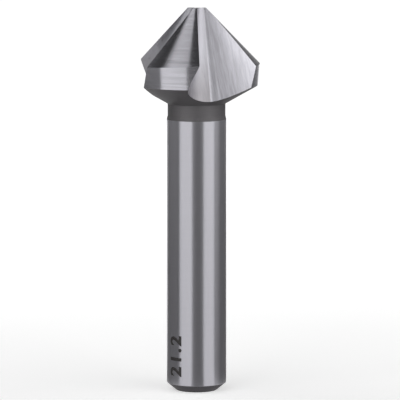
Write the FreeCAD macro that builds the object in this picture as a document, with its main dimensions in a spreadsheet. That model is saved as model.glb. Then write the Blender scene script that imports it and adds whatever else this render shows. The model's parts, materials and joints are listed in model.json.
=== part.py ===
import FreeCAD, Part
import os

import Sketcher
from FreeCAD import Placement, Rotation, Vector

# Three-flute conical countersink, one piece of hardened tool steel.
#
# The bit stands on the flat end of its shank: the origin is the centre of that face,
# +Z runs up the axis to the tip, and lengths are in millimetres.
# Seen from the tip it turns anticlockwise, so each cutting edge leads its land.
#
# How the real one is made, and the order of the features below:
#   the blank is turned from bar, with a ground shank, a neck and the head,
#   three flutes are ground through the head, each opening out towards the shank,
#   each land's cone, turned with a little stock left on it, is ground to size from
#   its cutting edge back, about a tilted axis.

# Driving sizes in millimetres and degrees, with what each one means.
SIZES = (
    ("shank_dia", 10.0, "diameter of the ground shank"),
    ("shank_length", 45.7, "ground shank, from its end to the shoulder"),
    ("end_chamfer_height", 1.3, "chamfer at the shank's end, along the axis"),
    ("end_chamfer_width", 1.55, "chamfer at the shank's end, across it"),
    ("neck_dia", 9.67, "diameter of the neck under the head"),
    ("shoulder_height", 0.65, "short cone from the shank up to the neck"),
    ("neck_length", 2.0, "plain part of the neck"),
    ("neck_fillet", 0.2, "turned radius where the neck meets the head"),
    ("underside_angle", 60.5, "underside of the head, measured from the axis"),
    ("land_height", 3.95, "margin between the underside and the cutting cone"),
    ("back_taper", 5.0, "how far the margin leans in towards the shank"),
    ("cutting_dia", 21.2, "largest diameter that the bit cuts"),
    ("cone_angle", 90.0, "included angle of the cutting cone"),
    ("tip_dia", 3.3, "flat at the tip"),
    ("flute_count", 3, "flutes, and lands between them"),
    ("root_ahead", 1.03, "flute root at the tip plane, behind the axis along X"),
    ("root_behind", 0.45, "flute root at the tip plane, past the axis along Y"),
    ("hook_angle", 27.7, "rake face, measured from the radius through the edge"),
    ("flute_angle", 58.4, "between the rake face and the flute's far wall"),
    ("flute_radius", 1.48, "flute bottom at the tip plane"),
    ("flute_flare_angle", 14.2, "how fast that radius grows on the way down"),
    ("flute_climb_angle", 19.55, "flute root, leaning away from the axis"),
    ("flute_skew_angle", 16.1, "flute root, leaning sideways behind the edge"),
    ("grinding_stock", 0.3, "left on the turned cone, along the axis, for the relief"),
    ("edge_azimuth", 2.35, "cutting corner, turned ahead of the front plane"),
    ("relief_tilt", 1.8, "tilt of the axis that a land's cone is ground about"),
)

NODE = "countersink_bit"
CUTTER_OVERRUN = 1.0       # how far a flute cutter passes both ends of the head
CUTTER_REACH = 1.5         # cutter width, as a multiple of the cutting diameter
RELIEF_SWEEP = 130.0       # a relief cut starts and ends in open flute
SEAM_AHEAD = 30.0          # from a cutting corner to the middle of its flute
SAME_PLACE = 1e-6          # two heights that should be equal
LEAST_CHANGE = 1e-3        # volume that any real cut changes

# Lengths that follow from the sheet, as expressions for the features to use.
SHANK_RADIUS = "sizes.shank_dia / 2"
NECK_RADIUS = "sizes.neck_dia / 2"
TIP_RADIUS = "sizes.tip_dia / 2"
CUTTING_RADIUS = "sizes.cutting_dia / 2"
MARGIN_FOOT_RADIUS = f"({CUTTING_RADIUS} - sizes.land_height * tan(sizes.back_taper))"
UNDERSIDE_HEIGHT = f"(({MARGIN_FOOT_RADIUS} - {NECK_RADIUS}) / tan(sizes.underside_angle))"
CONE_HEIGHT = f"(({CUTTING_RADIUS} - {TIP_RADIUS}) / tan(sizes.cone_angle / 2))"
HEAD_HEIGHT = f"({UNDERSIDE_HEIGHT} + sizes.land_height + {CONE_HEIGHT})"
NECK_TOP = "(sizes.shank_length + sizes.shoulder_height + sizes.neck_length)"
TIP_HEIGHT = f"({NECK_TOP} + {HEAD_HEIGHT})"
APEX_HEIGHT = f"({TIP_HEIGHT} + {TIP_RADIUS} / tan(sizes.cone_angle / 2))"


def make_sheet(doc):
    """Keep the driving sizes in one sheet: a name, a number and its meaning a row."""
    sheet = doc.addObject("Spreadsheet::Sheet", "sizes")
    for row, (alias, value, meaning) in enumerate(SIZES, start=1):
        sheet.set(f"A{row}", alias)
        sheet.set(f"B{row}", str(value))
        sheet.setAlias(f"B{row}", alias)
        sheet.set(f"C{row}", meaning)
    doc.recompute()
    return sheet


def new_sketch(body, name, plane_role):
    """Add a sketch on one of the body's own origin planes."""
    planes = {feature.Role: feature for feature in body.Origin.OriginFeatures}
    sketch = body.newObject("Sketcher::SketchObject", name)
    sketch.AttachmentSupport = [(planes[plane_role], "")]
    sketch.MapMode = "FlatFace"
    return sketch


def draw_chain(sketch, points):
    """Draw a closed chain of lines through the points and join their ends."""
    corners = [Vector(x, y, 0) for x, y in points]
    lines = [
        sketch.addGeometry(Part.LineSegment(start, end), False)
        for start, end in zip(corners, corners[1:] + corners[:1])
    ]
    for line, following in zip(lines, lines[1:] + lines[:1]):
        sketch.addConstraint(Sketcher.Constraint("Coincident", line, 2, following, 1))
    return lines


def measure(sketch, name, kind, first, second, expression):
    """Dimension from one point to another, bound to the sheet."""
    value = sketch.getPoint(*second) - sketch.getPoint(*first)
    start = value.x if kind == "DistanceX" else value.y
    index = sketch.addConstraint(Sketcher.Constraint(kind, *first, *second, start))
    sketch.renameConstraint(index, name)
    sketch.setExpression(f"Constraints.{name}", expression)


def bind(sketch, name, constraint, expression):
    """Add any other dimension, bound to the sheet."""
    index = sketch.addConstraint(constraint)
    sketch.renameConstraint(index, name)
    sketch.setExpression(f"Constraints.{name}", expression)


def turn_plane(sketch, expression):
    """Turn the sketch's upright plane round the bit's axis."""
    sketch.AttachmentOffset = Placement(Vector(), Rotation(Vector(0, 1, 0), 1))
    sketch.setExpression("AttachmentOffset.Rotation.Angle", expression)


def turn_blank(doc, body):
    """Turn the whole blank from one half profile.

    The profile's plane is turned into a flute, so that no land is split by the seam.
    """
    sketch = new_sketch(body, "blank_profile", "XZ_Plane")
    turn_plane(sketch, f"(sizes.edge_azimuth + {SEAM_AHEAD} - 90) * 1 deg")
    origin = (-1, 1)
    rough_outline = (
        (0, 0), (3.5, 0), (5, 1.3), (5, 45), (4.8, 46), (4.8, 48),
        (10.2, 51), (10.6, 55), (1.6, 64), (0, 64),
    )
    lines = draw_chain(sketch, rough_outline)
    end_face, chamfer, shank, shoulder, neck, underside, margin, cone, tip, axis = lines
    sketch.addConstraint(Sketcher.Constraint("Coincident", end_face, 1, *origin))
    for line in (end_face, tip):
        sketch.addConstraint(Sketcher.Constraint("Horizontal", line))
    for line in (shank, neck, axis):
        sketch.addConstraint(Sketcher.Constraint("Vertical", line))

    widths = (
        ("end_radius", end_face, f"{SHANK_RADIUS} - sizes.end_chamfer_width"),
        ("shank_radius", chamfer, SHANK_RADIUS),
        ("neck_radius", shoulder, NECK_RADIUS),
        ("margin_foot_radius", underside, MARGIN_FOOT_RADIUS),
        ("cutting_radius", margin, CUTTING_RADIUS),
        ("tip_radius", cone, f"{TIP_RADIUS} + sizes.grinding_stock * tan(sizes.cone_angle / 2)"),
    )
    for name, line, expression in widths:
        measure(sketch, name, "DistanceX", origin, (line, 2), expression)

    heights = (
        ("chamfer_height", chamfer, "sizes.end_chamfer_height"),
        ("shoulder_height", shoulder, "sizes.shoulder_height"),
        ("neck_length", neck, "sizes.neck_length"),
        ("underside_height", underside, UNDERSIDE_HEIGHT),
        ("margin_height", margin, "sizes.land_height + sizes.grinding_stock"),
        ("cone_height", cone, f"{CONE_HEIGHT} - sizes.grinding_stock"),
    )
    for name, line, expression in heights:
        measure(sketch, name, "DistanceY", (line, 1), (line, 2), expression)
    measure(sketch, "shank_top", "DistanceY", origin, (shank, 2), "sizes.shank_length")

    blank = body.newObject("PartDesign::Revolution", "turned_blank")
    blank.Profile = sketch
    blank.ReferenceAxis = (sketch, ["V_Axis"])
    blank.Angle = 360
    doc.recompute()
    return blank


def round_neck(doc, body, blank, sheet):
    """Round the inner corner where the neck runs into the underside."""
    neck_top = sheet.shank_length + sheet.shoulder_height + sheet.neck_length
    rim = [
        f"Edge{number}"
        for number, edge in enumerate(blank.Shape.Edges, start=1)
        if edge.isClosed() and abs(edge.CenterOfMass.z - neck_top) < SAME_PLACE
    ]
    if len(rim) != 1:
        raise RuntimeError("the neck's inner corner was not found")
    fillet = body.newObject("PartDesign::Fillet", "neck_radius")
    fillet.Base = (blank, rim)
    fillet.setExpression("Radius", "sizes.neck_fillet")
    doc.recompute()
    return fillet


def draw_flute_section(body, name, depth):
    """Draw a flute's section at a depth below the tip plane.

    It is a rounded V. One side is the rake face, the other the far wall, and both
    reach past the head, where two more lines close the outline.
    """
    sketch = new_sketch(body, name, "XY_Plane")
    sketch.setExpression("AttachmentOffset.Base.z", f"{TIP_HEIGHT} - {depth}")
    rake_start, rake_end = Vector(1, -2, 0), Vector(10, -24, 0)
    wall_start, wall_end = Vector(3, 0.3, 0), Vector(26, -1, 0)
    far_corner = Vector(36, -25, 0)
    rake = sketch.addGeometry(Part.LineSegment(rake_start, rake_end), False)
    bottom = sketch.addGeometry(Part.Arc(wall_start, Vector(1.2, -0.5, 0), rake_start), False)
    wall = sketch.addGeometry(Part.LineSegment(wall_start, wall_end), False)
    outer = sketch.addGeometry(Part.LineSegment(wall_end, far_corner), False)
    front = sketch.addGeometry(Part.LineSegment(far_corner, rake_end), False)
    root = sketch.addGeometry(Part.Point(Vector(-0.8, 0.5, 0)), True)

    ends = (
        (wall, 2, outer, 1),
        (outer, 2, front, 1),
        (front, 2, rake, 2),
    )
    for end in ends:
        sketch.addConstraint(Sketcher.Constraint("Coincident", *end))
    sketch.addConstraint(Sketcher.Constraint("Tangent", bottom, 2, rake, 1))
    sketch.addConstraint(Sketcher.Constraint("Tangent", bottom, 1, wall, 1))
    sketch.addConstraint(Sketcher.Constraint("Parallel", outer, rake))
    sketch.addConstraint(Sketcher.Constraint("Parallel", front, wall))
    sketch.addConstraint(Sketcher.Constraint("PointOnObject", root, 1, rake))
    sketch.addConstraint(Sketcher.Constraint("PointOnObject", root, 1, wall))

    across = f"-sizes.root_ahead - ({depth}) * tan(sizes.flute_skew_angle)"
    outwards = f"sizes.root_behind - ({depth}) * tan(sizes.flute_climb_angle)"
    measure(sketch, "root_x", "DistanceX", (-1, 1), (root, 1), across)
    measure(sketch, "root_y", "DistanceY", (-1, 1), (root, 1), outwards)

    rake_slope = Sketcher.Constraint("Angle", rake, -1.12)
    wall_slope = Sketcher.Constraint("Angle", wall, -0.05)
    bind(sketch, "rake_slope", rake_slope, "(sizes.hook_angle - 90) * 1 deg")
    bind(sketch, "wall_slope", wall_slope, "(sizes.hook_angle + sizes.flute_angle - 90) * 1 deg")

    radius = f"sizes.flute_radius + ({depth}) * tan(sizes.flute_flare_angle)"
    reach = f"sizes.cutting_dia * {CUTTER_REACH}"
    bind(sketch, "bottom_radius", Sketcher.Constraint("Radius", bottom, 2.0), radius)
    for name, line in (("rake_reach", rake), ("wall_reach", wall)):
        bind(sketch, name, Sketcher.Constraint("Distance", root, 1, line, 2, 25.0), reach)
    return sketch


def grind_flute(doc, body):
    """Loft one flute between a section above the tip and one below the head."""
    above = draw_flute_section(body, "flute_at_tip", f"-{CUTTER_OVERRUN}")
    below = draw_flute_section(body, "flute_at_neck", f"({HEAD_HEIGHT} + {CUTTER_OVERRUN})")
    doc.recompute()
    flute = body.newObject("PartDesign::SubtractiveLoft", "flute")
    flute.Profile = above
    flute.Sections = [below]
    flute.Ruled = True
    doc.recompute()
    return flute


def grind_relief(doc, body):
    """Grind one land's cone back from its cutting edge.

    The wheel keeps to a cone that has the true cone's apex, about an axis tilted
    towards the land's leading side. It meets the true cone at the cutting corner, and
    falls away inside it more and more towards the heel.
    """
    sketch = new_sketch(body, "relief_profile", "XZ_Plane")
    turn_plane(sketch, "sizes.edge_azimuth * 1 deg")
    apex, outer, foot = (0, 66), (-16, 66), (-16, 49)
    top, side, slope = draw_chain(sketch, (apex, outer, foot))
    tilted_line = Part.LineSegment(Vector(*apex, 0), Vector(0.3, 50, 0))
    tilted_axis = sketch.addGeometry(tilted_line, True)
    sketch.addConstraint(Sketcher.Constraint("Horizontal", top))
    sketch.addConstraint(Sketcher.Constraint("Vertical", side))
    sketch.addConstraint(Sketcher.Constraint("Coincident", tilted_axis, 1, top, 1))
    sketch.addConstraint(Sketcher.Constraint("PointOnObject", top, 1, -2))

    reach = f"sizes.cutting_dia * {CUTTER_REACH} / 2"
    ground_angle = "acos(cos(sizes.relief_tilt) * cos(sizes.cone_angle / 2))"
    fall = f"{reach} / tan({ground_angle} - sizes.relief_tilt * 1 deg)"
    measure(sketch, "apex_height", "DistanceY", (-1, 1), (top, 1), APEX_HEIGHT)
    measure(sketch, "reach", "DistanceX", (top, 2), (top, 1), reach)
    measure(sketch, "fall", "DistanceY", (side, 2), (side, 1), fall)
    measure(sketch, "axis_length", "DistanceY", (tilted_axis, 2), (tilted_axis, 1), reach)
    lean = f"{reach} * tan(sizes.relief_tilt)"
    measure(sketch, "axis_lean", "DistanceX", (tilted_axis, 1), (tilted_axis, 2), lean)
    doc.recompute()

    relief = body.newObject("PartDesign::Groove", "cone_relief")
    relief.Profile = sketch
    relief.ReferenceAxis = (sketch, ["Axis0"])
    relief.Angle = RELIEF_SWEEP
    relief.Reversed = True
    doc.recompute()
    return relief


def repeat_round_axis(doc, body, features):
    """Repeat a flute and its relief for every land."""
    axes = {feature.Role: feature for feature in body.Origin.OriginFeatures}
    pattern = body.newObject("PartDesign::PolarPattern", "lands")
    pattern.Originals = features
    pattern.Axis = (axes["Z_Axis"], [""])
    pattern.Angle = 360
    pattern.setExpression("Occurrences", "sizes.flute_count")
    body.Tip = pattern
    doc.recompute()
    return pattern


def check(doc, steps):
    """Stop on a failed feature, or on a cut that removed nothing."""
    for thing in doc.Objects:
        if "Invalid" in thing.State or "Error" in thing.State:
            raise RuntimeError(f"{thing.Name} failed: {thing.State}")
    volumes = [step.Shape.Volume for step in steps]
    for step, before, after in zip(steps[1:], volumes, volumes[1:]):
        if abs(before - after) < LEAST_CHANGE:
            raise RuntimeError(f"{step.Name} changed nothing")
        print(f"{step.Name}: volume {before:.2f} to {after:.2f}")


def main():
    doc = FreeCAD.newDocument("countersink")
    sheet = make_sheet(doc)
    body = doc.addObject("PartDesign::Body", NODE)
    body.Label = NODE
    blank = turn_blank(doc, body)
    rounded = round_neck(doc, body, blank, sheet)
    flute = grind_flute(doc, body)
    relief = grind_relief(doc, body)
    lands = repeat_round_axis(doc, body, [flute, relief])
    check(doc, [blank, rounded, flute, relief, lands])

    shape = body.Shape
    if shape.isNull() or not shape.isValid() or len(shape.Solids) != 1:
        raise RuntimeError("the bit is not one valid solid")
    os.makedirs("parts", exist_ok=True)
    shape.exportStep(f"parts/{NODE}.step")
    height = shape.optimalBoundingBox().ZMax
    print(f"{NODE}: {len(shape.Faces)} faces, volume {shape.Volume:.1f}, height {height:.2f}")


main()
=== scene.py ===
"""A three-flute countersink bit in ground tool steel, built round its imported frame.

The bit stands point up on the flat end of its shank: the origin is the centre of that
face and +Z runs up the axis. It is made the way the real one is. A blank is turned from
its half profile, three flutes are ground through the head, and each land's cone is then
ground back from its cutting edge about a tilted axis.
"""

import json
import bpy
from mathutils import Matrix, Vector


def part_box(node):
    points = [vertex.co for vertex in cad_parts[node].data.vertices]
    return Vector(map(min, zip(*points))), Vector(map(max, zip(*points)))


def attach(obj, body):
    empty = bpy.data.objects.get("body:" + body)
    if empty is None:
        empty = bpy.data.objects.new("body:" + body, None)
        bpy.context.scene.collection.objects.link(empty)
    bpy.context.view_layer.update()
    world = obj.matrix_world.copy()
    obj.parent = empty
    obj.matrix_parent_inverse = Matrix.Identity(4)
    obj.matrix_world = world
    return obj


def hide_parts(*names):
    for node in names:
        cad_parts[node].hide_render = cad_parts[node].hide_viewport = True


bl_info = {
    "name": "Countersink bit",
    "version": (1, 0, 0),
    "blender": (4, 5, 0),
    "location": "3D View > Sidebar > Countersink",
    "description": "A countersink bit with ground flutes, and the studio that it stands in",
    "category": "Add Mesh",
}

from math import acos, cos, pi, radians, sin, tan

import bmesh
import bpy
from mathutils import Matrix, Vector

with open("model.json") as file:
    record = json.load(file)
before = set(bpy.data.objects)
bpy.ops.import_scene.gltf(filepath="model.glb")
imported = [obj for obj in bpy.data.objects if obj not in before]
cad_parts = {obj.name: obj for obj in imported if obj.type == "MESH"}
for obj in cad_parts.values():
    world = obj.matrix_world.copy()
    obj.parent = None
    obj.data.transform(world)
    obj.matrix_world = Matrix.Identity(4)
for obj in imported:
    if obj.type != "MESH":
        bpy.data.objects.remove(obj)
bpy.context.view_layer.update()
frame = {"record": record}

NODE = "countersink_bit"
BODY = "root"
TIP_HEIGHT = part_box(NODE)[1].z
SHANK_MOUNT = next(mount for mount in frame["record"]["mounts"] if mount["name"] == "shank")

MM = 0.001
WELD = 1e-4 * MM             # points nearer than this are one point
BLANK_STEPS = 240            # facets once round the blank
EDGE_STEPS = 3               # facets across a broken edge of it
RELIEF_STEPS = 96            # facets round one relief cut
FLUTE_BOTTOM_STEPS = 32      # facets round the bottom of a flute
WALL_SIDE_STEPS = 5          # of which this many are ground with its wall
FLUTE_WALL_STEPS = 16        # facets across its slightly hollow wall
CUTTER_OVERRUN = 1.0 * MM    # how far a flute cutter passes both ends of the head
CUTTER_REACH = 1.5           # cutter width, as a multiple of the cutting diameter
RELIEF_SWEEP = radians(130)  # a relief cut starts and ends in open flute
SMOOTH_UP_TO = radians(14)   # faces that meet at less than this are one smooth surface

FIGURE_HEIGHT = 0.73         # of the built-in font, as a part of its size
MARK_STRIPS = 24             # strips that the flat number is cut into to bend it
MARK_PROUD = 0.005 * MM      # the oxide stands this far above the ground shank
MARK_DEEP = 0.03 * MM        # and goes this far into it

# Material slots of the bit, in order. Then each flute has two, for its wall and its
# rake face, turned to lie along its marks.
END, CHAMFER, SHANK, TURNED, LAND, TIP, FLUTE = range(7)

# Finishes: size of a mark along and across itself in mm, how rough and how uneven the
# surface is, how much more it blurs across the marks, their contrast and depth in mm,
# and how much of it is bare metal: the rest is the dull skin that hardening leaves.

# Ground between two wheels: long, even bands of light and dark down the shank.
CYLINDER_GROUND = {
    "mark": (9.0, 9.0, 0.35), "roughness": 0.33, "unevenness": 0.04, "anisotropy": 0.93,
    "contrast": 0.01, "groove": 0.0003, "metallic": 1.0,
}
# Ground round the cone: streaks across the land, under a sheen that is as broad as it.
LAND_GROUND = {
    "mark": (9.0, 9.0, 0.3), "roughness": 0.24, "unevenness": 0.12, "anisotropy": 0.9,
    "contrast": 0.16, "groove": 0.0012, "metallic": 1.0,
}
# Ground by the flat side of the wheel: the brightest faces, with streaks down them.
FLUTE_WALL = {
    "mark": (18.0, 0.28, 0.28), "roughness": 0.17, "unevenness": 0.12, "anisotropy": 0.8,
    "contrast": 0.11, "groove": 0.001, "metallic": 1.0,
}
# Ground by the rim of the wheel, in the bottom too: streaks down it, and a softer sheen.
RAKE_FACE = {
    "mark": (18.0, 0.28, 0.28), "roughness": 0.29, "unevenness": 0.15, "anisotropy": 0.85,
    "contrast": 0.08, "groove": 0.001, "metallic": 1.0,
}
# Turned, then hardened, and never ground: dark and dull, with no clear reflection.
AS_TURNED = {
    "mark": (4.0, 4.0, 0.3), "roughness": 0.6, "unevenness": 0.1, "anisotropy": 0.1,
    "contrast": 0.05, "groove": 0.002, "metallic": 0.7,
}
# Faced across the axis: an even grey that looks the same from all sides.
FACED = {
    "mark": (0.4, 0.4, 0.4), "roughness": 0.4, "unevenness": 0.1, "anisotropy": 0.0,
    "contrast": 0.03, "groove": 0.001, "metallic": 1.0,
}

FLUTE_RUN = (0.2, -0.49, -1.0)    # down the front flute, which its marks follow
ACROSS = 0.25                     # of a turn, from along a mark to across it
NOISE_LOW, NOISE_HIGH = 0.3, 0.7  # the noise seldom goes past these
LAND_SHIFT = 10 * MM              # the lands and each flute read their own part of the
FLUTE_SHIFT = 100 * MM            # noise, this far from the last one's
OXIDE_ROUGHNESS = 0.55

PAINTED_SHADE_FOOT = 50.5 * MM            # the painted shade on the rake faces is deepest here
PAINTED_SHADE_TOP = 57.5 * MM             # and has faded out here
PAINTED_SHADE_TINT = (0.67, 0.655, 0.64)  # red, green and blue that the painted shade leaves at its deepest

FLOOR_STEPS = 64
FLOOR_RADIUS = 3.0
FLOOR_CENTRE = (0, -0.3, 0)       # the floor's lift grows away from here
FLOOR_REACH = 0.6                 # and is full this far away
FLAG_HEIGHT = 0.5 * MM            # so that the flags don't lie in the floor itself
FLAG_REACH = 0.25                 # their lift has faded out this far from the bit
ROOM_FADE = sin(radians(35))      # the room is darkest from this far above the horizon
SENSOR_WIDTH = 36.0               # of the camera, in millimetres
CLIP_START, CLIP_END = 0.01, 20.0

# Lamps: place, aim, width and height in millimetres, and radiance.
LAMPS = {
    "left": ((-290, -317, 250), (0, 0, 250), 429, 500, 1.3),
    "right": ((338, -289, 250), (0, 0, 250), 350, 500, 1.35),
    "front_top": ((-145, -395, 330), (0, 0, 50), 220, 160, 1.08),
    "front_fill": ((70, -414, 330), (0, 0, 50), 400, 160, 0.6),
    "over_left": ((-182, 24, 500), (0, 0, 50), 215, 200, 1.17),
    "right_side": ((420, -52, 215), (0, 0, 50), 230, 260, 1.4),
    "left_side": ((-430, 130, 280), (0, 0, 50), 300, 180, 0.45),
    "back": ((-90, 445, 240), (0, 0, 50), 400, 240, 0.65),
}

# Flags: cards on the floor, with their corners in millimetres. Only reflections show them.
FLAGS = {
    "flag_front": ((-1.4, -6), (2, -6), (240, -500), (-158, -500)),
    "flag_left": ((-7, -5.3), (-400, -150), (-500, 420), (-289, 500), (-7, 12)),
    "flag_right": ((7, -5), (7, 12), (157, 500), (500, 420), (400, -132)),
}


def linear(code):
    """An sRGB hex colour as linear red, green and blue."""
    parts = [int(code[place:place + 2], 16) / 255 for place in (1, 3, 5)]
    return [part / 12.92 if part <= 0.04045 else ((part + 0.055) / 1.055) ** 2.4 for part in parts]


def length(name, description, millimetres):
    """A length that a user can change, given in millimetres."""
    return bpy.props.FloatProperty(
        name=name, description=description, default=millimetres * MM, unit="LENGTH", precision=4
    )


def angle(name, description, degrees):
    """An angle that a user can change, given in degrees."""
    return bpy.props.FloatProperty(
        name=name, description=description, default=radians(degrees), unit="ROTATION"
    )


def amount(name, description, value):
    """A plain factor that a user can change."""
    return bpy.props.FloatProperty(name=name, description=description, default=value)


def colour(name, description, code):
    """A colour that a user can change, given as sRGB hex."""
    return bpy.props.FloatVectorProperty(
        name=name, description=description, default=linear(code), subtype="COLOR", size=3
    )


class BlankSizes(bpy.types.PropertyGroup):
    """The turned blank: shank, neck and head."""

    shank_diameter: length(
        "Shank diameter", "Across the ground shank", 2 * SHANK_MOUNT["dims"]["r_mm"])
    shank_length: length("Shank length", "From the end to the shoulder", 45.7)
    chamfer_height: length("Chamfer height", "End chamfer, along the axis", 1.3)
    chamfer_width: length("Chamfer width", "End chamfer, across the axis", 1.55)
    neck_diameter: length("Neck diameter", "Across the neck under the head", 9.67)
    shoulder_height: length("Shoulder height", "Short cone from shank to neck", 0.65)
    neck_length: length("Neck length", "Plain part of the neck", 2.0)
    neck_fillet: length("Neck fillet", "Turned corner where the neck meets the head", 0.12)
    edge_break: length("Edge break", "How far the turned edges are broken", 0.06)


class HeadSizes(bpy.types.PropertyGroup):
    """The head: underside, margin, cutting cone and tip."""

    cutting_diameter: length("Cutting diameter", "Largest diameter that the bit cuts", 21.2)
    cone_angle: angle("Cone angle", "Included angle of the cutting cone", 90.0)
    tip_diameter: length("Tip diameter", "Flat at the tip", 3.3)
    land_height: length("Land height", "Margin from the underside to the cone", 3.95)
    back_taper: angle("Back taper", "Lean of the margin towards the shank", 5.0)
    underside_angle: angle("Underside angle", "Underside of the head, from the axis", 60.5)
    grinding_stock: length("Grinding stock", "Left on the turned cone for the relief", 0.3)
    edge_azimuth: angle("Edge azimuth", "Cutting corner, turned ahead of the front", 2.35)
    relief_tilt: angle("Relief tilt", "Tilt of the axis a land's cone is ground about", 1.8)


class FluteSizes(bpy.types.PropertyGroup):
    """One flute; the others are the same, turned round the axis."""

    count: bpy.props.IntProperty(
        name="Flutes", description="Flutes, and lands between them", default=3, min=1)
    root_ahead: length("Root ahead", "Flute root at the tip, behind the axis along X", 1.03)
    root_behind: length("Root behind", "Flute root at the tip, past the axis along Y", 0.45)
    hook: angle("Hook", "Rake face, from the radius through the edge", 27.7)
    opening: angle("Opening", "Between the rake face and the far wall", 58.4)
    bottom_radius: length("Bottom radius", "Flute bottom at the tip", 1.48)
    flare: angle("Flare", "How fast the bottom opens towards the shank", 14.2)
    climb: angle("Climb", "Flute root, leaning away from the axis", 19.55)
    skew: angle("Skew", "Flute root, leaning sideways behind the edge", 16.1)
    hollow: angle("Hollow", "How much the far wall turns across its width", 10.0)
    wall_width: amount("Wall width", "Hollow part, as a multiple of the bottom radius", 2.0)


class SizeMarkSettings(bpy.types.PropertyGroup):
    """The plain size number that is marked on the shank."""

    text: bpy.props.StringProperty(
        name="Number", description="Cutting diameter in millimetres", default="21.2")
    height: length("Height", "Height of the figures", 2.5)
    foot: length("Foot", "Where the number starts, above the shank's end", 2.75)
    azimuth: angle("Azimuth", "Middle of the number, turned from the front", -43.5)
    spacing: amount("Spacing", "Between the figures, as a multiple of the font's own", 1.2)
    weight: length("Weight", "Added to both sides of each stroke", 0.11)


class SteelColours(bpy.types.PropertyGroup):
    """Colours of the finishes."""

    ground: colour("Ground steel", "Shank, lands and flutes", "#afaeb4")
    turned: colour("Turned steel", "Neck and underside", "#6b696b")
    # The chamfer is darker than the turned steel as painted shade: it faces down, away from the
    # lamps.
    chamfer: colour("Chamfer", "Dark hardening skin on the end chamfer", "#504e51")
    mark: colour("Size mark", "Oxide left by the marking laser", "#2e2b2a")


class StudioSettings(bpy.types.PropertyGroup):
    """Camera, floor and light."""

    camera_distance: length("Camera distance", "In front of the bit's axis", 560.0)
    camera_height: length("Camera height", "Above the floor", 100.16)
    camera_side: length("Camera side", "To the right of the axis", 0.58)
    camera_pitch: angle("Camera pitch", "Below the horizon", 6.93)
    lens: bpy.props.FloatProperty(
        name="Lens", description="Focal length on a 36 mm sensor", default=303.05, unit="CAMERA")
    floor: colour("Floor", "Plain pale floor", "#f4f4f4")
    lift_near: amount("Lift near", "Light added to the floor in front of the bit", 0.02)
    lift_far: amount("Lift far", "Light added to the floor far from the bit", 0.95)
    flag: colour("Flags", "Cards that give the metal its dark bands", "#7c7c7c")
    flag_lift: amount("Flag lift", "Light added to the flags at the bit", 0.13)
    room_low: colour("Room, low", "Room beyond the lamps, level with the bit", "#a0a0a0")
    room_high: colour("Room, high", "Room beyond the lamps, overhead", "#464646")


def new_object(name, mesh):
    """Link a mesh to the scene as an object at the origin."""
    thing = bpy.data.objects.new(name, mesh)
    bpy.context.scene.collection.objects.link(thing)
    return thing


def mesh_from(bm, name, slots=()):
    """Turn a bmesh into a mesh, with its material slots, and free it."""
    mesh = bpy.data.meshes.new(name)
    bm.to_mesh(mesh)
    bm.free()
    for material in slots:
        mesh.materials.append(material)
    return mesh


def weld(bm):
    """Close the seams and poles that a spin leaves open, with faces pointing outwards."""
    bmesh.ops.remove_doubles(bm, verts=bm.verts, dist=WELD)
    bmesh.ops.dissolve_degenerate(bm, dist=WELD, edges=bm.edges)
    bmesh.ops.recalc_face_normals(bm, faces=bm.faces)


def turned_blank(blank, head):
    """Turn the blank from its half profile, with its outer edges broken."""
    shank = blank.shank_diameter / 2
    neck = blank.neck_diameter / 2
    cutting = head.cutting_diameter / 2
    half_cone = head.cone_angle / 2
    margin_foot = cutting - head.land_height * tan(head.back_taper)
    neck_foot = blank.shank_length + blank.shoulder_height
    neck_top = neck_foot + blank.neck_length
    underside_top = neck_top + (margin_foot - neck) / tan(head.underside_angle)
    margin_top = underside_top + head.land_height + head.grinding_stock
    stock_radius = head.tip_diameter / 2 + head.grinding_stock * tan(half_cone)
    # Radius, height, and how far the corner there is broken or rounded.
    outline = (
        (0.0, 0.0, 0.0),
        (shank - blank.chamfer_width, 0.0, blank.edge_break),
        (shank, blank.chamfer_height, blank.edge_break),
        (shank, blank.shank_length, blank.edge_break),
        (neck, neck_foot, blank.edge_break),
        (neck, neck_top, blank.neck_fillet),
        (margin_foot, underside_top, 0.0),
        (cutting, margin_top, 0.0),
        (stock_radius, TIP_HEIGHT, 0.0),
        (0.0, TIP_HEIGHT, 0.0),
    )
    bm = bmesh.new()
    points = [bm.verts.new((radius, 0.0, height)) for radius, height, _ in outline]
    for start, end in zip(points, points[1:]):
        bm.edges.new((start, end))
    for point, (_, _, corner) in zip(points, outline):
        if corner:
            bmesh.ops.bevel(
                bm, geom=[point], offset=corner, offset_type="OFFSET", affect="VERTICES",
                segments=EDGE_STEPS, profile=0.5, material=-1,
            )
    bmesh.ops.spin(
        bm, geom=bm.verts[:] + bm.edges[:], cent=(0, 0, 0), axis=(0, 0, 1),
        angle=2 * pi, steps=BLANK_STEPS, use_merge=True,
    )
    weld(bm)

    # Each part's upper end, and its slot.
    turned_and_ground = (
        (WELD, END),
        (blank.chamfer_height, CHAMFER),
        (blank.shank_length, SHANK),
        (underside_top, TURNED),
        (TIP_HEIGHT - WELD, LAND),
        (TIP_HEIGHT + WELD, TIP),
    )
    for face in bm.faces:
        height = face.calc_center_median().z
        face.material_index = next(slot for top, slot in turned_and_ground if height < top)
    return bm


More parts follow.
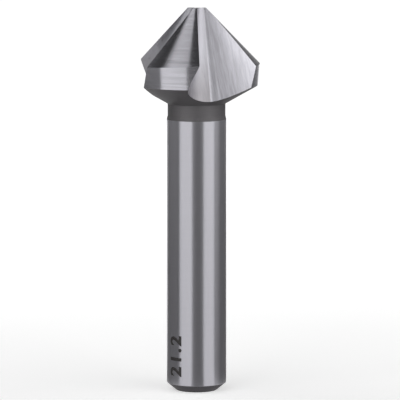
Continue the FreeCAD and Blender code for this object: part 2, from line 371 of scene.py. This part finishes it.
def flute_cutter(flutes, head, head_height, turn, slot):
    """A wheel's path through the head: a rounded V that opens towards the shank.

    Its far wall is ground slightly hollow, on the chord of the flat one.
    """
    wall = Vector((sin(flutes.hook + flutes.opening), -cos(flutes.hook + flutes.opening), 0))
    rake = Vector((sin(flutes.hook), -cos(flutes.hook), 0))
    inwards = Vector((wall.y, -wall.x, 0))
    reach = head.cutting_diameter * CUTTER_REACH

    def root_at(depth):
        across = -flutes.root_ahead - depth * tan(flutes.skew)
        outwards = flutes.root_behind - depth * tan(flutes.climb)
        return Vector((across, outwards, TIP_HEIGHT - depth))

    def radius_at(depth):
        return flutes.bottom_radius + depth * tan(flutes.flare)

    above, below = -CUTTER_OVERRUN, head_height + CUTTER_OVERRUN
    root, radius = root_at(above), radius_at(above)
    centre = root + (wall + rake).normalized() * radius / sin(flutes.opening / 2)
    tangent = radius / tan(flutes.opening / 2)
    width = radius * flutes.wall_width
    hollow_centre = root + wall * (tangent + width / 2)
    hollow_centre += inwards * width / 2 / tan(flutes.hollow / 2)

    # The section above the tip: the hollow wall, the bottom, whose second part is ground
    # with the rake face, and straight sides that close it outside the head.
    bm = bmesh.new()
    first = bm.verts.new(root + wall * (tangent + width))
    hollow = bmesh.ops.spin(
        bm, geom=[first], cent=hollow_centre, axis=(0, 0, 1),
        angle=flutes.hollow, steps=FLUTE_WALL_STEPS,
    )
    middle = next(item for item in hollow["geom_last"] if isinstance(item, bmesh.types.BMVert))
    step = (pi - flutes.opening) / FLUTE_BOTTOM_STEPS
    for steps in (WALL_SIDE_STEPS, FLUTE_BOTTOM_STEPS - WALL_SIDE_STEPS):
        before = set(bm.edges)
        arc = bmesh.ops.spin(
            bm, geom=[middle], cent=centre, axis=(0, 0, 1), angle=step * steps, steps=steps,
        )
        middle = next(item for item in arc["geom_last"] if isinstance(item, bmesh.types.BMVert))
    rake_side = [edge for edge in bm.edges if edge not in before]
    corners = [bm.verts.new(root + side * reach) for side in (rake, rake + wall, wall)]
    rake_side.append(bm.edges.new((middle, corners[0])))
    chain = (*corners, first)
    for start, end in zip(chain, chain[1:]):
        bm.edges.new((start, end))
    bmesh.ops.contextual_create(bm, geom=bm.edges[:])

    # The wheel's path: the section again below the head, grown and moved along the root.
    lower = bmesh.ops.extrude_face_region(bm, geom=bm.faces[:])["geom"]
    lower = [item for item in lower if isinstance(item, bmesh.types.BMVert)]
    growth = radius_at(below) / radius
    bmesh.ops.scale(bm, vec=(growth, growth, 1), space=Matrix.Translation(-root), verts=lower)
    bmesh.ops.translate(bm, vec=root_at(below) - root, verts=lower)
    bmesh.ops.rotate(bm, cent=(0, 0, 0), matrix=Matrix.Rotation(turn, 3, "Z"), verts=bm.verts)
    bmesh.ops.recalc_face_normals(bm, faces=bm.faces)
    for face in bm.faces:
        face.material_index = slot
    for edge in rake_side:
        for face in edge.link_faces:
            if len(face.verts) == 4:
                face.material_index = slot + 1
    return bm


def relief_cutter(head, turn):
    """What is ground off one land's cone, about an axis tilted through the cone's apex."""
    reach = head.cutting_diameter * CUTTER_REACH / 2
    half_cone = head.cone_angle / 2
    ground_angle = acos(cos(head.relief_tilt) * cos(half_cone))
    fall = reach / tan(ground_angle - head.relief_tilt)
    apex = Vector((0, 0, TIP_HEIGHT + head.tip_diameter / 2 / tan(half_cone)))
    axis = Vector((-sin(head.relief_tilt), 0, cos(head.relief_tilt)))

    bm = bmesh.new()
    corners = (apex, apex - Vector((reach, 0, 0)), apex - Vector((reach, 0, fall)))
    bm.faces.new([bm.verts.new(corner) for corner in corners])
    bmesh.ops.spin(
        bm, geom=bm.faces[:] + bm.edges[:] + bm.verts[:], cent=apex, axis=axis,
        angle=RELIEF_SWEEP, steps=RELIEF_STEPS,
    )
    weld(bm)
    start = Matrix.Rotation(head.edge_azimuth + turn, 3, "Z")
    bmesh.ops.rotate(bm, cent=(0, 0, 0), matrix=start, verts=bm.verts)
    for face in bm.faces:
        face.material_index = LAND
    return bm


def cut(thing, bm, slots):
    """Grind a cutter's shape out of a mesh object. The new faces keep the cutter's slots."""
    cutter = new_object("cutter", mesh_from(bm, "cutter", slots))
    grind = thing.modifiers.new("grind", "BOOLEAN")
    grind.operation = "DIFFERENCE"
    grind.solver = "EXACT"
    grind.material_mode = "INDEX"
    grind.object = cutter
    graph = bpy.context.evaluated_depsgraph_get()
    ground = bpy.data.meshes.new_from_object(thing.evaluated_get(graph))
    thing.modifiers.clear()
    thing.data = ground
    bpy.data.objects.remove(cutter)


def add_node(tree, kind, settings=None, links=None):
    """Add a shader node. Settings go to its fields or sockets, links to its sockets."""
    node = tree.nodes.new(kind)
    sockets = {socket.identifier: socket for socket in node.inputs}
    for name, value in (settings or {}).items():
        if name in sockets:
            sockets[name].default_value = value
        else:
            setattr(node, name, value)
    for name, source in (links or {}).items():
        tree.links.new(source, {s.identifier: s for s in node.inputs}[name])
    return node


def new_material(name):
    """A new material and its node tree, which is empty."""
    material = bpy.data.materials.new(name)
    material.use_nodes = True
    material.node_tree.nodes.clear()
    return material, material.node_tree


def noise_along(tree, finish, turned, shift):
    """Noise drawn out along the marks: 0 to 1, as long and as narrow as the finish says."""
    place = add_node(tree, "ShaderNodeTexCoord")
    laid = add_node(tree, "ShaderNodeMapping", {
        "vector_type": "TEXTURE", "Location": (shift, shift, shift), "Rotation": turned,
        "Scale": [size * MM for size in finish["mark"]],
    }, {"Vector": place.outputs["Object"]})
    fine = add_node(tree, "ShaderNodeTexNoise", {
        "Scale": 1.0, "Detail": 3.0, "Roughness": 0.6,
    }, {"Vector": laid.outputs["Vector"]})
    return fine.outputs["Fac"]


def run_out_painted_shade(tree, tint):
    """Painted shade at the bottom of a flute, a little brown, stronger towards the shank."""
    place = add_node(tree, "ShaderNodeTexCoord")
    parts = add_node(tree, "ShaderNodeSeparateXYZ", None, {"Vector": place.outputs["Object"]})
    height = add_node(tree, "ShaderNodeCombineXYZ", None, {
        axis: parts.outputs["Z"] for axis in "XYZ"})
    fade = add_node(tree, "ShaderNodeMapRange", {
        "data_type": "FLOAT_VECTOR",
        "From_Min_FLOAT3": (PAINTED_SHADE_FOOT,) * 3, "From_Max_FLOAT3": (PAINTED_SHADE_TOP,) * 3,
        "To_Min_FLOAT3": PAINTED_SHADE_TINT, "To_Max_FLOAT3": (1, 1, 1),
    }, {"Vector": height.outputs["Vector"]})
    return add_node(tree, "ShaderNodeVectorMath", {"operation": "MULTIPLY"}, {
        "Vector": tint.outputs["Vector"], "Vector_001": fade.outputs["Vector"]})


def ground_steel(name, base, finish, turned=(0, 0, 0), along=None, shift=0.0, painted_run_out_shade=False):
    """Hardened tool steel with the marks of its last machining.

    The marks run round the axis, or along a straight direction if one is given. They
    are narrow grooves, so the metal mirrors sharply along them and blurs across them:
    that draws reflections out into bands. Marks too fine to show are drawn coarser.
    """
    material, tree = new_material(name)
    marks = noise_along(tree, finish, turned, shift)
    rough = add_node(tree, "ShaderNodeMapRange", {
        "To Min": finish["roughness"] * (1 - finish["unevenness"]),
        "To Max": finish["roughness"] * (1 + finish["unevenness"]),
    }, {"Value": marks})
    shade = add_node(tree, "ShaderNodeMapRange", {
        "From Min": NOISE_LOW, "From Max": NOISE_HIGH,
        "To Min": 1 - finish["contrast"], "To Max": 1 + finish["contrast"],
    }, {"Value": marks})
    tint = add_node(tree, "ShaderNodeVectorMath", {"operation": "SCALE", "Vector": base}, {
        "Scale": shade.outputs["Result"]})
    # Painted shade: the rake faces' colour darkens, a little warm, towards the flute's run-out.
    if painted_run_out_shade:
        tint = run_out_painted_shade(tree, tint)
    grooves = add_node(tree, "ShaderNodeBump", {
        "Strength": 1.0, "Distance": finish["groove"] * MM}, {"Height": marks})
    if along is None:
        surface = add_node(tree, "ShaderNodeNewGeometry")
        around = add_node(tree, "ShaderNodeVectorMath", {
            "operation": "CROSS_PRODUCT", "Vector": (0, 0, 1)},
            {"Vector_001": surface.outputs["Normal"]})
        direction = around.outputs["Vector"]
    else:
        straight = add_node(tree, "ShaderNodeCombineXYZ", dict(zip("XYZ", along)))
        direction = straight.outputs["Vector"]
    shader = add_node(tree, "ShaderNodeBsdfPrincipled", {
        "Metallic": finish["metallic"], "Anisotropic": finish["anisotropy"],
        "Anisotropic Rotation": ACROSS,
    }, {
        "Base Color": tint.outputs["Vector"], "Roughness": rough.outputs["Result"],
        "Normal": grooves.outputs["Normal"], "Tangent": direction,
    })
    add_node(tree, "ShaderNodeOutputMaterial", None, {"Surface": shader.outputs["BSDF"]})
    return material


def finishes(colours, flutes):
    """The bit's materials, in the order of its slots."""
    slots = [
        ground_steel("faced_steel_end", colours.ground, FACED),
        # The chamfer's darker colour is painted shade, because it faces down.
        ground_steel("hardened_steel_chamfer_painted_shade", colours.chamfer, AS_TURNED),
        ground_steel("ground_steel_shank", colours.ground, CYLINDER_GROUND),
        ground_steel("hardened_steel_neck", colours.turned, AS_TURNED),
        ground_steel("ground_steel_land", colours.ground, LAND_GROUND, shift=LAND_SHIFT),
        ground_steel("ground_steel_tip", colours.ground, FACED),
    ]
    down = Vector(FLUTE_RUN).normalized()
    for number in range(flutes.count):
        turn = Matrix.Rotation(number * 2 * pi / flutes.count, 3, "Z")
        along = turn @ down
        turned = along.to_track_quat("X", "Z").to_euler()
        # The rake faces carry painted shade towards the run-out.
        for part, finish in (("wall", FLUTE_WALL), ("rake", RAKE_FACE)):
            slots.append(ground_steel(
                f"ground_steel_{part}_{number + 1}", colours.ground, finish, turned, along,
                shift=number * FLUTE_SHIFT, painted_run_out_shade=part == "rake"))
    return slots


class COUNTERSINK_OT_bit(bpy.types.Operator):
    """Turn the blank, grind the flutes and the relief, and put the finishes on"""

    bl_idname = "countersink.bit"
    bl_label = "Countersink bit"
    bl_options = {"REGISTER", "UNDO"}

    def execute(self, context):
        scene = context.scene
        blank, head = scene.countersink_blank, scene.countersink_head
        flutes = scene.countersink_flutes
        slots = finishes(scene.countersink_colours, flutes)
        neck_top = blank.shank_length + blank.shoulder_height + blank.neck_length
        bit = new_object("bit", mesh_from(turned_blank(blank, head), "bit", slots))
        turns = [number * 2 * pi / flutes.count for number in range(flutes.count)]
        for number, turn in enumerate(turns):
            slot = FLUTE + 2 * number
            cut(bit, flute_cutter(flutes, head, TIP_HEIGHT - neck_top, turn, slot), slots)
        for turn in turns:
            cut(bit, relief_cutter(head, turn), slots)
        bm = bmesh.new()
        bm.from_mesh(bit.data)
        weld(bm)
        for edge in bm.edges:
            same = len({face.material_index for face in edge.link_faces}) == 1
            edge.smooth = same and edge.calc_face_angle(0) < SMOOTH_UP_TO
        for face in bm.faces:
            face.smooth = True
        bm.to_mesh(bit.data)
        bm.free()
        weights = bit.modifiers.new("even_normals", "WEIGHTED_NORMAL")
        weights.keep_sharp = True
        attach(bit, BODY)
        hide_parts(NODE)
        return {"FINISHED"}


def laser_oxide(name, base):
    """Steel that a marking laser has heated to a thin brown-black oxide.

    The oxide is matt next to the ground steel, so the number stays dark in the bands too.
    """
    material, tree = new_material(name)
    shader = add_node(tree, "ShaderNodeBsdfPrincipled", {
        "Base Color": (*base, 1), "Roughness": OXIDE_ROUGHNESS})
    add_node(tree, "ShaderNodeOutputMaterial", None, {"Surface": shader.outputs["BSDF"]})
    return material


class COUNTERSINK_OT_size_mark(bpy.types.Operator):
    """Mark the cutting diameter on the shank, reading from its end to the head"""

    bl_idname = "countersink.size_mark"
    bl_label = "Size mark"
    bl_options = {"REGISTER", "UNDO"}

    def execute(self, context):
        scene = context.scene
        settings = scene.countersink_mark
        radius = scene.countersink_blank.shank_diameter / 2
        letters = bpy.data.curves.new("size_mark", "FONT")
        letters.body = settings.text
        letters.size = settings.height / FIGURE_HEIGHT
        letters.offset = settings.weight
        letters.space_character = settings.spacing
        letters.align_y = "CENTER"
        flat = new_object("flat_number", letters)
        graph = bpy.context.evaluated_depsgraph_get()
        mesh = bpy.data.meshes.new_from_object(flat.evaluated_get(graph))
        bpy.data.objects.remove(flat)

        bm = bmesh.new()
        bm.from_mesh(mesh)
        bpy.data.meshes.remove(mesh)
        for strip in range(1, MARK_STRIPS):
            across = (strip / MARK_STRIPS - 0.5) * settings.height
            bmesh.ops.bisect_plane(
                bm, geom=bm.verts[:] + bm.edges[:] + bm.faces[:],
                plane_co=(0, across, 0), plane_no=(0, 1, 0),
            )
        bmesh.ops.remove_doubles(bm, verts=bm.verts, dist=WELD)
        bmesh.ops.translate(bm, vec=(0, 0, -MARK_DEEP), verts=bm.verts)
        upper = bmesh.ops.extrude_face_region(bm, geom=bm.faces[:])["geom"]
        upper = [item for item in upper if isinstance(item, bmesh.types.BMVert)]
        bmesh.ops.translate(bm, vec=(0, 0, MARK_DEEP + MARK_PROUD), verts=upper)
        for point in bm.verts:
            along, across, out = point.co
            turn = settings.azimuth - across / radius
            point.co = Vector((sin(turn), -cos(turn), 0)) * (radius + out)
            point.co.z = settings.foot + along
        bmesh.ops.recalc_face_normals(bm, faces=bm.faces)
        oxide = laser_oxide("laser_oxide", scene.countersink_colours.mark)
        mark = new_object("size_mark", mesh_from(bm, "size_mark", [oxide]))
        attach(mark, BODY)
        return {"FINISHED"}


def lifted_paper(name, base, centre, reach, near, far):
    """Matt paper. It is lifted where it is looked at, also by way of the metal.

    The lift goes from near, at a centre, to far, at its reach.
    """
    material, tree = new_material(name)
    path = add_node(tree, "ShaderNodeLightPath")
    seen = add_node(tree, "ShaderNodeMath", {"operation": "MAXIMUM"}, {
        "Value": path.outputs["Is Camera Ray"], "Value_001": path.outputs["Is Glossy Ray"]})
    seen = add_node(tree, "ShaderNodeMath", {"operation": "MAXIMUM"}, {
        "Value": seen.outputs[0], "Value_001": path.outputs["Is Transmission Ray"]})
    place = add_node(tree, "ShaderNodeTexCoord")
    distance = add_node(tree, "ShaderNodeVectorMath", {
        "operation": "DISTANCE", "Vector_001": centre}, {"Vector": place.outputs["Object"]})
    strength = add_node(tree, "ShaderNodeMapRange", {
        "From Min": 0.0, "From Max": reach, "To Min": near, "To Max": far,
    }, {"Value": distance.outputs["Value"]})
    lift = add_node(tree, "ShaderNodeMath", {"operation": "MULTIPLY"}, {
        "Value": seen.outputs[0], "Value_001": strength.outputs["Result"]})
    paper = add_node(tree, "ShaderNodeBsdfDiffuse", {"Color": (*base, 1)})
    glow = add_node(tree, "ShaderNodeEmission", None, {"Strength": lift.outputs[0]})
    both = add_node(tree, "ShaderNodeAddShader", None, {
        "Shader": paper.outputs[0], "Shader_001": glow.outputs[0]})
    add_node(tree, "ShaderNodeOutputMaterial", None, {"Surface": both.outputs[0]})
    return material


def dim_room(studio):
    """A room that is lighter at the level of the bit than overhead."""
    world = bpy.data.worlds.new("room")
    world.use_nodes = True
    tree = world.node_tree
    tree.nodes.clear()
    direction = add_node(tree, "ShaderNodeTexCoord")
    parts = add_node(tree, "ShaderNodeSeparateXYZ", None, {
        "Vector": direction.outputs["Generated"]})
    rise = add_node(tree, "ShaderNodeMapRange", {
        "From Min": 0.0, "From Max": ROOM_FADE}, {"Value": parts.outputs["Z"]})
    mix = add_node(tree, "ShaderNodeMix", {
        "data_type": "RGBA", "A_Color": (*studio.room_low, 1), "B_Color": (*studio.room_high, 1),
    }, {"Factor_Float": rise.outputs["Result"]})
    light = add_node(tree, "ShaderNodeBackground", None, {"Color": mix.outputs[2]})
    add_node(tree, "ShaderNodeOutputWorld", None, {"Surface": light.outputs[0]})
    return world


def add_lamp(name, place, aim, width, height, radiance):
    """A soft rectangular lamp, sized and placed in millimetres."""
    light = bpy.data.lights.new(name, "AREA")
    light.shape = "RECTANGLE"
    light.size, light.size_y = width * MM, height * MM
    light.energy = radiance * pi * light.size * light.size_y
    lamp = bpy.data.objects.new(name, light)
    bpy.context.scene.collection.objects.link(lamp)
    place, aim = Vector(place) * MM, Vector(aim) * MM
    lamp.location = place
    lamp.rotation_euler = (aim - place).to_track_quat("-Z", "Y").to_euler()


class COUNTERSINK_OT_studio(bpy.types.Operator):
    """Lay the floor, set the lamps and aim the camera"""

    bl_idname = "countersink.studio"
    bl_label = "Studio"
    bl_options = {"REGISTER", "UNDO"}

    def execute(self, context):
        scene = context.scene
        studio = scene.countersink_studio
        bm = bmesh.new()
        bmesh.ops.create_circle(bm, cap_ends=True, segments=FLOOR_STEPS, radius=FLOOR_RADIUS)
        paper = lifted_paper(
            "floor_paper", studio.floor, FLOOR_CENTRE, FLOOR_REACH,
            studio.lift_near, studio.lift_far)
        floor = new_object("floor", mesh_from(bm, "floor", [paper]))
        card = lifted_paper(
            "flag_card", studio.flag, (0, 0, 0), FLAG_REACH, studio.flag_lift, 0)
        for name, corners in FLAGS.items():
            bm = bmesh.new()
            bm.faces.new([bm.verts.new((x * MM, y * MM, FLAG_HEIGHT)) for x, y in corners])
            flag = new_object(name, mesh_from(bm, name, [card]))
            flag.visible_camera = flag.visible_diffuse = flag.visible_shadow = False
        for name, settings in LAMPS.items():
            add_lamp(name, *settings)

        scene.world = dim_room(studio)

        lens = bpy.data.cameras.new("camera")
        lens.lens, lens.sensor_width = studio.lens, SENSOR_WIDTH
        lens.clip_start, lens.clip_end = CLIP_START, CLIP_END
        camera = bpy.data.objects.new("camera", lens)
        scene.collection.objects.link(camera)
        camera.location = (studio.camera_side, -studio.camera_distance, studio.camera_height)
        camera.rotation_euler = (pi / 2 - studio.camera_pitch, 0, 0)
        scene.camera = camera
        scene.view_settings.view_transform = "Standard"
        return {"FINISHED"}


GROUPS = (
    ("countersink_blank", BlankSizes),
    ("countersink_head", HeadSizes),
    ("countersink_flutes", FluteSizes),
    ("countersink_mark", SizeMarkSettings),
    ("countersink_colours", SteelColours),
    ("countersink_studio", StudioSettings),
)
OPERATORS = (COUNTERSINK_OT_bit, COUNTERSINK_OT_size_mark, COUNTERSINK_OT_studio)


class COUNTERSINK_PT_panel(bpy.types.Panel):
    """Sizes, colours and pieces of the countersink bit"""

    bl_idname = "COUNTERSINK_PT_panel"
    bl_label = "Countersink bit"
    bl_space_type = "VIEW_3D"
    bl_region_type = "UI"
    bl_category = "Countersink"

    def draw(self, context):
        for name, group in GROUPS:
            box = self.layout.box()
            settings = getattr(context.scene, name)
            for key in group.__annotations__:
                box.prop(settings, key)
        for operator in OPERATORS:
            self.layout.operator(operator.bl_idname)


def register():
    for name, group in GROUPS:
        bpy.utils.register_class(group)
        setattr(bpy.types.Scene, name, bpy.props.PointerProperty(type=group))
    for kind in (*OPERATORS, COUNTERSINK_PT_panel):
        bpy.utils.register_class(kind)


def unregister():
    for kind in (COUNTERSINK_PT_panel, *reversed(OPERATORS)):
        bpy.utils.unregister_class(kind)
    for name, group in reversed(GROUPS):
        delattr(bpy.types.Scene, name)
        bpy.utils.unregister_class(group)


def main():
    register()
    bpy.ops.countersink.bit()
    bpy.ops.countersink.size_mark()
    bpy.ops.countersink.studio()


if __name__ == "__main__":
    main()
